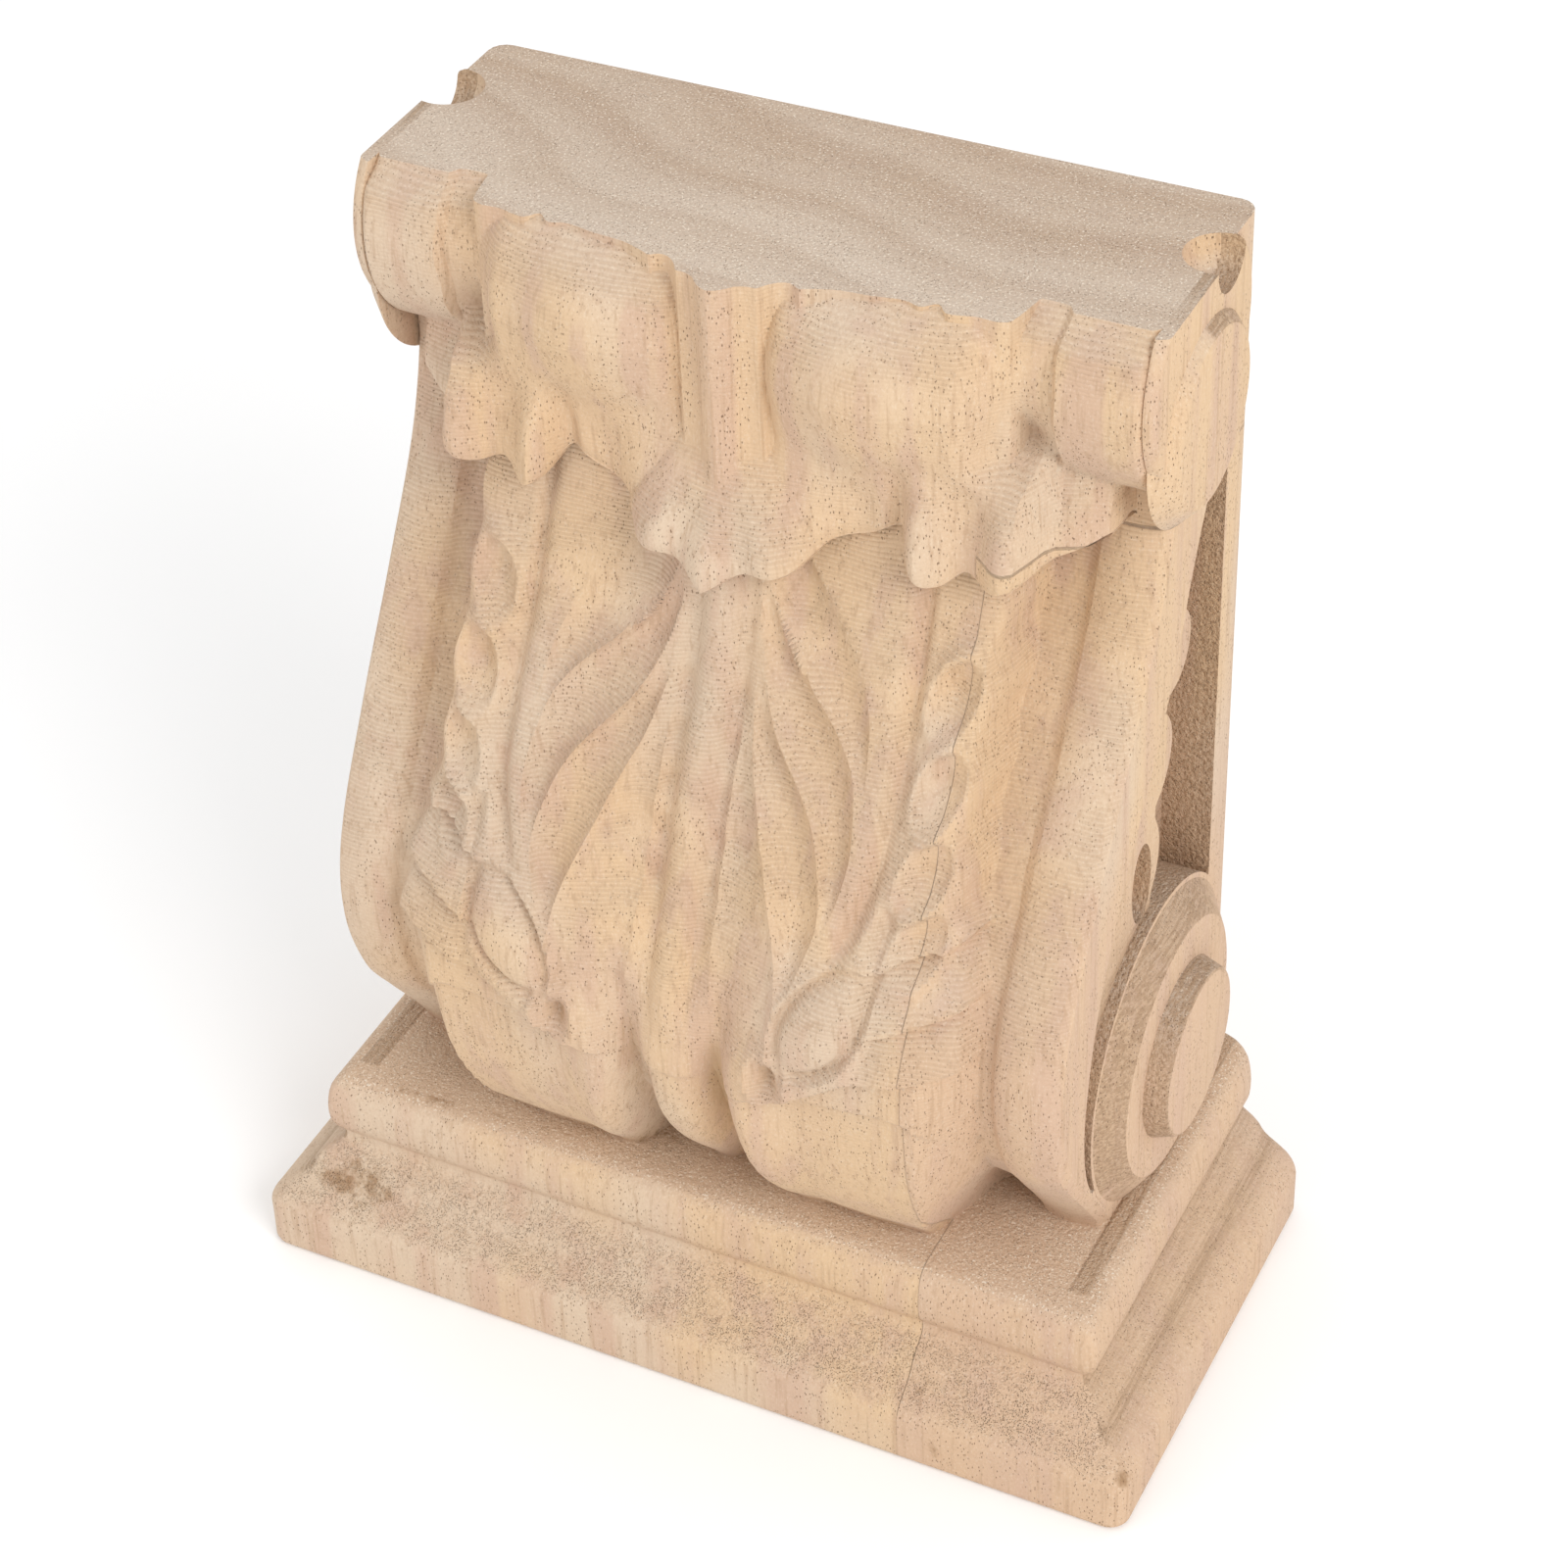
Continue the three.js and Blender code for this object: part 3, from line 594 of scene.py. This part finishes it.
print('cutting the body')
carving = skin('carvedBlock', bodyPoints())
footBlock = skin('footBlock', footPoints())
for side in (-1, 1):
    join(carving, sideBlock(shelfOutline(), pocket['shelf'], side), 'DIFFERENCE')
    join(carving, sideBlock(pocketOutline(), pocket['deep'], side), 'DIFFERENCE')
    for at in scrolls:
        join(carving, scrollDisc(at, side), 'UNION')
    join(carving, sideBlock(holeOutline(), pocket['holeDeep'], side), 'DIFFERENCE')
    depth, height, radius = pocket['scoop']
    bpy.ops.mesh.primitive_uv_sphere_add(segments=48, ring_count=24, radius=radius * mm,
                                         location=(side * block['halfWidth'] * mm,
                                                   (block['backFace'] - depth) * mm, height * mm))
    join(carving, bpy.context.object, 'DIFFERENCE')
bpy.ops.mesh.primitive_cube_add(size=1, location=(0, 0, (block['height'] + 20) * mm),
                                scale=(200 * mm, 200 * mm, 40 * mm))
bpy.ops.object.transform_apply(location=True, rotation=True, scale=True)
join(carving, bpy.context.object, 'DIFFERENCE')
join(carving, footBlock, 'UNION')
selectOnly(carving)
bpy.ops.object.shade_smooth_by_angle(angle=math.radians(25))
print('triangles', sum(len(face.vertices) - 2 for face in carving.data.polygons))


# dark spots of the wood: place, size and strength
spots = [
    {'at': (-48.8, -25.9, 11.5), 'size': (6.5, 4.0, 2.5), 'strength': 1.0},
    {'at': (-51.2, -31.5, 5.5), 'size': (3.2, 3.0, 5.0), 'strength': 0.5},
    {'at': (60.5, -30.3, 9.0), 'size': (2.2, 2.2, 2.0), 'strength': 1.1},
    {'at': (-9.0, -17.0, 26.0), 'size': (7.0, 3.0, 2.0), 'strength': 0.6},
    {'at': (24.0, -14.6, 26.0), 'size': (9.0, 3.0, 2.0), 'strength': 0.6},
    {'at': (-40.5, -22.2, 26.0), 'size': (10.0, 8.0, 2.0), 'strength': 0.45},
    {'at': (46.0, -16.0, 26.0), 'size': (8.0, 7.0, 2.0), 'strength': 0.3},
    {'at': (33.2, -28.5, 11.0), 'size': (1.6, 4.0, 3.0), 'strength': 0.7},
    {'at': (35.6, -31.5, 4.0), 'size': (1.2, 3.0, 4.0), 'strength': 0.6},
    {'at': (31.3, -30.5, 41.8), 'size': (0.8, 3.0, 2.2), 'strength': 0.8},
]


# how far a place of the carving lies below what is around it, which sets the painted shade in the hollows
def hollowness(x, z):
    reach = 2.4
    u = np.abs(x)

    def surface(across, height):
        across = np.abs(across)
        tip = follow(roll['tip'], across)
        return np.where(height > tip, rollDepth(across, height), leafDepth(across, height))

    around = (surface(u - reach, z) + surface(u + reach, z)
              + surface(u, z - reach) + surface(u, z + reach)) / 4
    return blend(0.15, 1.3, around - surface(u, z))


# what a mesh keeps of each of its parts: one row of numbers for each
def numbers(items, name, width=1, kind=np.float32):
    values = np.zeros(len(items) * width, kind)
    items.foreach_get(name, values)
    return values.reshape(-1, width)


# masks that the finish reads, from where each corner lies and the way it faces
def paintMasks(piece):
    mesh = piece.data
    ny, nz = numbers(mesh.corner_normals, 'vector', 3).T[1:]
    corners = numbers(mesh.polygons, 'loop_total', kind=np.int32).ravel()
    faceX, faceY, faceZ = np.repeat(numbers(mesh.polygons, 'normal', 3), corners, axis=0).T
    out = np.abs(np.repeat(numbers(mesh.polygons, 'center', 3)[:, 0], corners)) / mm
    index = numbers(mesh.loops, 'vertex_index', kind=np.int32).ravel()
    places = numbers(mesh.vertices, 'co', 3) / mm
    x, y, z = places[index].T
    u = np.abs(x)
    depth = block['backFace'] - y
    onBody = z > foot['height'] + 0.2
    front = depth > follow(leaf['band'], z) - 2.5
    carved = onBody * front * (z < block['height'] - 0.1) * (u < block['halfWidth'] - 0.3)
    onMoulding = (1 - onBody) * (z < foot['height'] - 2)
    endGrain = blend(0.3, 0.9, np.abs(nz)) * (1 - 0.6 * onMoulding) * (1 - 0.45 * carved)
    tools = carved * (0.3 + 0.7 * blend(0.05, 0.45, nz)) * (1 - blend(-0.1, -0.4, nz)) * blend(30, 58, z)
    recessed = (out < block['halfWidth'] - 0.2) * (out > block['halfWidth'] - pocket['deep'] - 0.5)
    inPocket = onBody * recessed * (faceY < 0.9) * (1 - front) * (z < pocket['top'] + 1)
    inPocket = inPocket * (0.8 - 0.7 * (np.abs(faceX) > 0.9) * blend(58, 72, z))
    onScroll = (out > block['halfWidth'] - pocket['shelf']) * (np.abs(faceX) < 0.96) * onBody
    scrollWall = onScroll * (1 - front) * blend(-0.35, 0.25, faceZ - faceY) * (faceY < 0.99)
    cutBands = 1.2 * hump(z, 16.4, 1.6) + 0.9 * hump(z, 11.5, 1.3) + 0.2 * hump(z, 14, 1)
    footSide = (1 - onBody) * cutBands * (np.abs(faceX) > 0.4)
    rough = np.clip(inPocket + scrollWall + footSide, 0, 1)
    pitted = (1 - onBody) * blend(0.2, 0.5, -ny) * blend(7.5, 10, z) * (1 - blend(13, 17, z))
    # painted shade: darker where the carving lies below its surroundings, low in the middle of the leaf
    hollow = (carved > 0) * hollowness(*places.T[[0, 2]])[index] * (1 - blend(50, 66, z)) * (u < 14)
    stain = np.zeros(len(z))
    for spot in spots:
        away = sum(((value - middle) / size) ** 2
                   for value, middle, size in zip((x, y, z), spot['at'], spot['size']))
        stain = np.maximum(stain, spot['strength'] * np.exp(-away))
    masks = {'endGrain': endGrain, 'toolMarks': tools, 'roughCut': rough, 'pitted': pitted,
             'hollow': hollow, 'stain': stain}
    for name, values in masks.items():
        layer = mesh.attributes.new(name, 'FLOAT', 'CORNER')
        layer.data.foreach_set('value', values.astype(np.float32))


paintMasks(carving)


# shader maths: a wrapped socket takes ordinary operators
class Wire:
    def __init__(self, tree, socket):
        self.tree = tree
        self.socket = socket

    def maths(self, operation, *others):
        return self.tree.node('ShaderNodeMath', {'operation': operation}, self, *others)

    def __add__(self, other):
        return self.maths('ADD', other)

    def __sub__(self, other):
        return self.maths('SUBTRACT', other)

    def __rsub__(self, other):
        return self.tree.node('ShaderNodeMath', {'operation': 'SUBTRACT'}, other, self)

    def __mul__(self, other):
        return self.maths('MULTIPLY', other)

    __radd__ = __add__
    __rmul__ = __mul__


class Tree:
    def __init__(self, name):
        self.material = bpy.data.materials.new(name)
        self.material.use_nodes = True
        self.tree = self.material.node_tree
        self.shader = self.tree.nodes['Principled BSDF']

    # any node: its type, its settings and the values or wires of its sockets
    def node(self, kind, settings=None, *sockets, out=0, **named):
        made = self.tree.nodes.new(kind)
        for key, value in (settings or {}).items():
            setattr(made, key, value)
        for key, value in list(enumerate(sockets)) + list(named.items()):
            self.feed(made.inputs[key], value)
        return Wire(self, made.outputs[out])

    def feed(self, socket, value):
        if isinstance(value, Wire):
            self.tree.links.new(value.socket, socket)
        elif value is not None:
            socket.default_value = value

    def attribute(self, name):
        return self.node('ShaderNodeAttribute', {'attribute_name': name}, out=2)

    def spot(self):
        return self.node('ShaderNodeTexCoord', None, out=3)

    def scaled(self, place, scale):
        return self.node('ShaderNodeMapping', None, Vector=place, Scale=scale)

    # the three numbers of a place
    def parts(self, place):
        split = self.node('ShaderNodeSeparateXYZ', None, place).socket.node
        return [Wire(self, output) for output in split.outputs]

    def noise(self, place, scale=1.0, detail=2.0, roughness=0.5):
        return self.node('ShaderNodeTexNoise', None, Vector=place, Scale=scale, Detail=detail,
                         Roughness=roughness)

    # dots of a cell pattern: 1 inside the inner radius, 0 outside the outer one
    def dots(self, place, inner, outer):
        cells = self.node('ShaderNodeTexVoronoi', {'feature': 'F1'}, Vector=place)
        return 1 - self.step(cells, inner, outer)

    def step(self, value, low, high):
        return self.node('ShaderNodeMapRange', {'interpolation_type': 'SMOOTHSTEP'}, value, low, high)

    # a colour between two others
    def mix(self, factor, one, two):
        made = self.tree.nodes.new('ShaderNodeMix')
        made.data_type = 'RGBA'
        self.feed(made.inputs['Factor'], factor)
        self.feed(made.inputs[6], one)
        self.feed(made.inputs[7], two)
        return Wire(self, made.outputs[2])


# bare wood: colours of its grain, pores and cut faces, and sizes in millimetres
wood = {
    'pale': (0.65, 0.505, 0.37, 1),
    'warm': (0.67, 0.475, 0.295, 1),
    'pink': (0.585, 0.40, 0.29, 1),
    'streak': (0.42, 0.265, 0.16, 1),
    'endPale': (0.585, 0.485, 0.395, 1),
    'endDark': (0.44, 0.325, 0.24, 1),
    'speck': (0.86, 0.77, 0.64, 1),
    'rough': (0.37, 0.24, 0.145, 1),
    'pore': (0.22, 0.12, 0.065, 1),
    'stain': (0.30, 0.17, 0.08, 1),
    # darker brown of the painted shade in the hollows, and how strongly it is mixed in
    'hollowShadeColour': (0.47, 0.31, 0.17, 1),
    'secondBoardFrom': 30.8,
    'secondBoardTo': 72.0,
    'secondBoardEnd': 121.5,
    'secondBoardPink': 0.45,
    'jointDarkness': 0.2,
    'ringWidth': 11.0,
    'ringWander': 34.0,
    'pinkStreaks': 0.75,
    'fibreStreaks': 0.4,
    'hollowShadeStrength': 0.8,
    'stainStrength': 0.8,
    'poreStrength': 0.8,
    'smallPoreStrength': 0.4,
    'pitStrength': 0.6,
    'toolPitch': 0.52,
    'toolStrength': 0.26,
    'toolRelief': 0.045,
    'roughness': 0.8,
    'specular': 0.25,
}

# brown line cut along the slab of the foot, beside the body
slabStrip = {'from': 48.4, 'to': 51.3, 'front': -20.0, 'low': 25.4, 'high': 26.5, 'strength': 0.8}


def woodMaterial():
    tree = Tree('bareWood')
    point = tree.scaled(tree.spot(), (1000, 1000, 1000))
    endGrain, tools, rough, pitted, hollow, stain = (
        tree.attribute(name) for name in ('endGrain', 'toolMarks', 'roughCut', 'pitted', 'hollow', 'stain'))
    x, y, z = tree.parts(point)

    # the blank is glued up, so the grain jumps at the joint
    second = tree.step(x, wood['secondBoardFrom'], wood['secondBoardFrom'] + 0.12)
    second = second * (1 - tree.step(z, wood['secondBoardEnd'], wood['secondBoardEnd'] + 0.5))
    place = tree.node('ShaderNodeVectorMath', {'operation': 'ADD'}, point,
                      tree.node('ShaderNodeCombineXYZ', None, second * 40.0, 0, second * 25.0))

    # growth rings, streaks, fibres and specks
    drift = tree.noise(tree.scaled(place, (0.016, 0.03, 0.006)), 1.0, 1.0)
    ringPlace = (y + x * 0.2 + drift * wood['ringWander']) * (1 / wood['ringWidth'])
    ring = tree.node('ShaderNodeMath', {'operation': 'FRACT'}, ringPlace)
    late = tree.step(ring, 0.1, 0.75) * (1 - tree.step(ring, 0.8, 0.98))
    thinRing = tree.node('ShaderNodeMath', {'operation': 'SINE'}, ringPlace * 26.0) * 0.5 + 0.5
    streaks = tree.noise(tree.scaled(place, (0.2, 0.2, 0.012)), 1.0, 2.0, 0.6)
    fibre = tree.noise(tree.scaled(place, (1.5, 1.5, 0.07)), 1.0, 2.0, 0.6)
    fuzz = tree.noise(tree.scaled(place, (3.4, 3.4, 1.8)), 1.0, 1.0, 0.6)
    patch = tree.noise(tree.scaled(place, (0.05, 0.05, 0.025)), 1.0, 1.0)

    # side grain
    colour = tree.mix(tree.step(patch + x * 0.002, 0.36, 0.62), wood['pale'], wood['warm'])
    colour = tree.mix(tree.step(streaks, 0.45, 0.68) * wood['pinkStreaks'], colour, wood['pink'])
    low = 1 - tree.step(z, wood['secondBoardTo'] - 10, wood['secondBoardTo'] + 20)
    colour = tree.mix(late * 0.12 + second * low * wood['secondBoardPink'], colour, wood['pink'])
    colour = tree.mix(tree.step(fibre, 0.5, 0.72) * wood['fibreStreaks'], colour, wood['streak'])

    # end grain, warmer on the foot and browner towards the back
    flat = tree.step(endGrain, 0.8, 1.0)
    inFoot = 1 - tree.step(z, foot['height'] + 0.2, foot['height'] + 1.0)
    heart = tree.step(y + drift * 24.0, 14.0, 30.0)
    dark = (late * 0.35 + thinRing * 0.1 + heart * 0.5) * flat
    endColour = tree.mix(dark, wood['endPale'], wood['endDark'])
    endColour = tree.mix(inFoot * 0.5, endColour, wood['pink'])
    endColour = tree.mix(inFoot * 0.35, endColour, wood['warm'])
    colour = tree.mix(endGrain * (0.6 + flat * 0.3), colour, endColour)

    grains = tree.step(fuzz, 0.58, 0.7) * (flat * 0.45 + endGrain * 0.15 + 0.14)
    colour = tree.mix(grains, colour, wood['speck'])
    colour = tree.mix((1 - tree.step(fuzz, 0.3, 0.42)) * (flat * 0.2 + 0.18), colour, wood['streak'])

    # the joint, painted shade in the hollows, rough cuts with their lines and stains
    joint = tree.step(x, wood['secondBoardFrom'] - 0.3, wood['secondBoardFrom']) * (1 - second)
    joint = joint * (1 - tree.step(z, wood['secondBoardTo'] - 17, wood['secondBoardTo']))
    joint = joint * (1 - tree.step(x, wood['secondBoardFrom'], wood['secondBoardFrom'] + 0.4))
    colour = tree.mix(joint * wood['jointDarkness'], colour, wood['streak'])
    # painted shade: the hollows of the leaf are darkened towards a brown, in patches
    paintedHollowShade = hollow * tree.step(patch + fibre * 0.4, 0.45, 0.85)
    colour = tree.mix(paintedHollowShade * wood['hollowShadeStrength'], colour, wood['hollowShadeColour'])
    lines = tree.noise(tree.scaled(place, (2.4, 0.1, 2.4)), 1.0, 2.0, 0.6)
    out = tree.node('ShaderNodeMath', {'operation': 'ABSOLUTE'}, x)
    strip = tree.step(out, slabStrip['from'], slabStrip['from'] + 0.5)
    strip = strip * (1 - tree.step(out, slabStrip['to'] - 0.4, slabStrip['to']))
    strip = strip * tree.step(y, slabStrip['front'], slabStrip['front'] + 1.0)
    strip = strip * tree.step(z, slabStrip['low'], slabStrip['low'] + 0.3)
    strip = strip * (1 - tree.step(z, slabStrip['high'] - 0.3, slabStrip['high']))
    rough = rough + strip * slabStrip['strength']
    colour = tree.mix(rough * (0.35 + tree.step(lines, 0.4, 0.6) * 0.45), colour, wood['rough'])
    cloud = tree.noise(tree.scaled(place, (0.5, 0.5, 0.4)), 1.0, 3.0, 0.65)
    soaked = tree.step(stain * 0.6 + cloud * 1.1, 0.75, 1.15) * tree.step(stain, 0.05, 0.35)
    colour = tree.mix(soaked * wood['stainStrength'], colour, wood['stain'])

    # pores and torn grain
    often = tree.noise(tree.scaled(place, (0.25, 0.25, 0.1)), 1.0, 2.0)
    pores = tree.dots(tree.scaled(place, (0.6, 0.6, 0.22)), 0.12, 0.21) * tree.step(often, 0.38, 0.5)
    small = tree.dots(tree.scaled(place, (1.6, 1.6, 0.5)), 0.1, 0.22) * tree.step(often, 0.38, 0.5)
    pits = tree.dots(tree.scaled(place, (1.0, 0.8, 0.9)), 0.1, 0.36) * pitted * tree.step(cloud, 0.4, 0.52)
    colour = tree.mix(pores * wood['poreStrength'], colour, wood['pore'])
    colour = tree.mix(small * wood['smallPoreStrength'], colour, wood['pore'])
    colour = tree.mix(pits * wood['pitStrength'], colour, wood['rough'])

    # level marks of the cutter
    slow = tree.noise(tree.scaled(place, (0.09, 0.09, 0.1)), 1.0, 1.0)
    marks = tree.node('ShaderNodeMath', {'operation': 'SINE'},
                      (z + slow * 2.0 + y * 0.06) * (2 * math.pi / wood['toolPitch']))
    fade = tree.step(slow, 0.3, 0.5)
    colour = tree.mix(tools * fade * (marks * 0.5 + 0.5) * wood['toolStrength'], colour, wood['streak'])
    tree.feed(tree.shader.inputs['Base Color'], colour)
    tree.shader.inputs['Roughness'].default_value = wood['roughness']
    tree.shader.inputs['Specular IOR Level'].default_value = wood['specular']

    grit = tree.noise(tree.scaled(place, (2.0, 2.0, 1.6)), 1.0, 2.0, 0.6)
    coarse = endGrain * 0.2 + rough * 0.3 + pitted * 0.25 + 0.1
    relief = (marks * tools * fade * wood['toolRelief'] + grit * coarse
              + lines * rough * 0.25 - pores * 0.15 - pits * 0.25)
    bump = tree.node('ShaderNodeBump', None, Strength=1.0, Distance=mm, Height=relief)
    tree.feed(tree.shader.inputs['Normal'], bump)
    return tree.material


print('finishing the wood')
carving.name = 'corbelCarving'
carving.data.name = 'corbelCarving'
carving.data.materials.clear()
carving.data.materials.append(woodMaterial())
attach(carving, "root")
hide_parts("corbel")

# soft studio: light boxes with size, power and place, what they are aimed at, the room and the floor
studio = {
    'lights': [
        {'name': 'keyLight', 'size': 0.7, 'power': 9.8, 'place': (1.0, -0.6, 0.9)},
        {'name': 'fillLight', 'size': 1.2, 'power': 3.2, 'place': (-0.7, -0.95, 0.8)},
        {'name': 'topLight', 'size': 1.0, 'power': 2.5, 'place': (-0.2, 0.4, 1.4)},
    ],
    'aim': (0, 0, 0.07),
    'room': 0.75,
    'floorSize': 6,
    'floorColour': (0.93, 0.93, 0.93, 1),
    'floorRoughness': 0.9,
    'floorGlow': 0.05,
}

bpy.ops.mesh.primitive_plane_add(size=studio['floorSize'], location=(0, 0, 0))
floor = bpy.context.object
floor.name = 'floor'
floorTree = Tree('paleFloor')
floorTree.shader.inputs['Base Color'].default_value = studio['floorColour']
floorTree.shader.inputs['Roughness'].default_value = studio['floorRoughness']
floorTree.shader.inputs['Emission Color'].default_value = (1, 1, 1, 1)
floorTree.shader.inputs['Emission Strength'].default_value = studio['floorGlow']
floor.data.materials.append(floorTree.material)

# camera, solved from the straight edges of the block: angles in degrees, lens in millimetres
camera = {
    'place': (0.1718575, -0.3268663, 0.3723901),
    'azimuth': 27.599,
    'elevation': 37.734,
    'roll': -2.422,
    'lens': 89.634,
    'shift': (0.00909, -0.04957),
}


# the camera's own axes follow from its angles
def addCamera():
    az, el, turn = (math.radians(camera[k]) for k in ('azimuth', 'elevation', 'roll'))
    back = Vector((math.sin(az) * math.cos(el), -math.cos(az) * math.cos(el), math.sin(el)))
    right0 = Vector((0, 0, 1)).cross(back).normalized()
    up0 = back.cross(right0)
    right = math.cos(turn) * right0 + math.sin(turn) * up0
    up = -math.sin(turn) * right0 + math.cos(turn) * up0
    made = bpy.data.cameras.new('photoCamera')
    made.lens = camera['lens']
    made.sensor_width = 36
    made.shift_x, made.shift_y = camera['shift']
    made.clip_start = 0.01
    holder = bpy.data.objects.new('photoCamera', made)
    matrix = Matrix((right, up, back)).transposed().to_4x4()
    matrix.translation = Vector(camera['place'])
    holder.matrix_world = matrix
    scene.collection.objects.link(holder)
    scene.camera = holder


def addLights():
    for light in studio['lights']:
        made = bpy.data.lights.new(light['name'], 'AREA')
        made.size = light['size']
        made.energy = light['power']
        holder = bpy.data.objects.new(light['name'], made)
        holder.location = light['place']
        aim = Vector(studio['aim']) - Vector(light['place'])
        holder.rotation_euler = aim.to_track_quat('-Z', 'Y').to_euler()
        scene.collection.objects.link(holder)
    world = bpy.data.worlds.new('studio')
    world.use_nodes = True
    world.node_tree.nodes['Background'].inputs['Color'].default_value = (1, 1, 1, 1)
    world.node_tree.nodes['Background'].inputs['Strength'].default_value = studio['room']
    scene.world = world


print('camera and light')
addCamera()
addLights()
scene.view_settings.view_transform = 'Standard'

bpy.context.view_layer.update()
